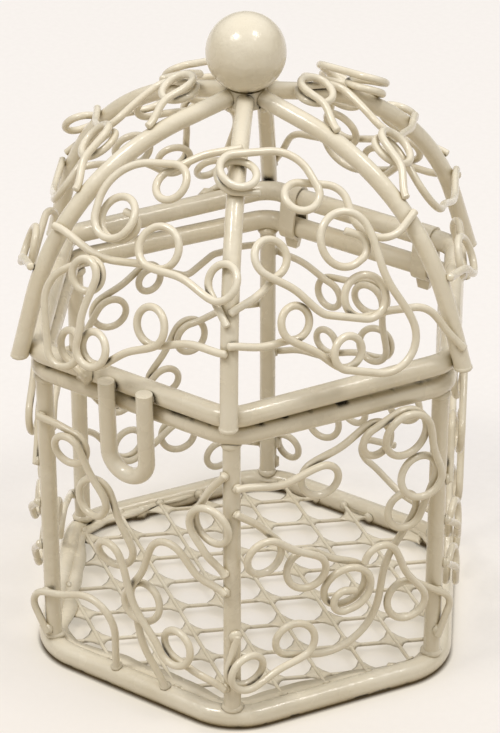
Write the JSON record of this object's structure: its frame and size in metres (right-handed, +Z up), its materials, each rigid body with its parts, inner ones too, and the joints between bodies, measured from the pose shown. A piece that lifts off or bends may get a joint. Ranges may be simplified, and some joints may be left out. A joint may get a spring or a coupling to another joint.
{
  "type": "birdcage favour box",
  "caption": "Small hexagonal wire birdcage box with scrolled wire panels, a mesh floor and a domed lid with a ball finial that hinges at the back and has a welded catch in front.",
  "frame": {"origin": "centre of the base on the surface that the box stands on", "axes": "+Z up along the axis of the cage, -Y towards the face with the catch, hinge on the +Y side"},
  "size_m": [0.0684, 0.0647, 0.0894],
  "materials": {
    "frame_paint": "glossy ivory paint over steel rod",
    "scroll_paint": "glossy ivory paint over bent steel wire",
    "mesh_paint": "glossy ivory paint over thin steel wire"
  },
  "bodies": {
    "cage": {"base_ring": "frame_paint", "body_scroll_back_left_lower": "scroll_paint", "body_scroll_back_left_middle": "scroll_paint", "body_scroll_back_left_upper": "scroll_paint", "body_scroll_back_lower": "scroll_paint", "body_scroll_back_middle": "scroll_paint", "body_scroll_back_right_lower": "scroll_paint", "body_scroll_back_right_middle": "scroll_paint", "body_scroll_back_right_upper": "scroll_paint", "body_scroll_back_upper": "scroll_paint", "body_scroll_front_inner": "scroll_paint", "body_scroll_front_left_lower": "scroll_paint", "body_scroll_front_left_middle": "scroll_paint", "body_scroll_front_left_upper": "scroll_paint", "body_scroll_front_lower": "scroll_paint", "body_scroll_front_middle": "scroll_paint", "body_scroll_front_right_lower": "scroll_paint", "body_scroll_front_right_middle": "scroll_paint", "body_scroll_front_right_upper": "scroll_paint", "body_scroll_front_upper": "scroll_paint", "floor_cross_wires": "mesh_paint", "floor_long_wires": "mesh_paint", "post_back_left": "frame_paint", "post_back_right": "frame_paint", "post_front_left": "frame_paint", "post_front_right": "frame_paint", "post_left": "frame_paint", "post_right": "frame_paint", "rim_ring": "frame_paint"},
    "lid": {"crown_stud": "frame_paint", "finial_ball": "frame_paint", "front_catch": "frame_paint", "hinge_strap_left": "frame_paint", "hinge_strap_right": "frame_paint", "lid_ring": "frame_paint", "lid_scroll_back_left_lower": "scroll_paint", "lid_scroll_back_left_middle": "scroll_paint", "lid_scroll_back_left_upper": "scroll_paint", "lid_scroll_back_lower": "scroll_paint", "lid_scroll_back_middle": "scroll_paint", "lid_scroll_back_right_lower": "scroll_paint", "lid_scroll_back_right_middle": "scroll_paint", "lid_scroll_back_right_upper": "scroll_paint", "lid_scroll_back_upper": "scroll_paint", "lid_scroll_front_left_lower": "scroll_paint", "lid_scroll_front_left_middle": "scroll_paint", "lid_scroll_front_left_upper": "scroll_paint", "lid_scroll_front_lower": "scroll_paint", "lid_scroll_front_middle": "scroll_paint", "lid_scroll_front_right_lower": "scroll_paint", "lid_scroll_front_right_middle": "scroll_paint", "lid_scroll_front_right_upper": "scroll_paint", "lid_scroll_front_upper": "scroll_paint", "rib_back_left": "frame_paint", "rib_back_right": "frame_paint", "rib_front_left": "frame_paint", "rib_front_right": "frame_paint", "rib_left": "frame_paint", "rib_right": "frame_paint"}
  },
  "joints": [
    {"name": "lid_hinge", "type": "hinge", "parent": "cage", "child": "lid", "pos_m": [0, 0.0264, 0.0448], "axis": [-1, 0, 0], "range_deg": [0, 120]}
  ]
}
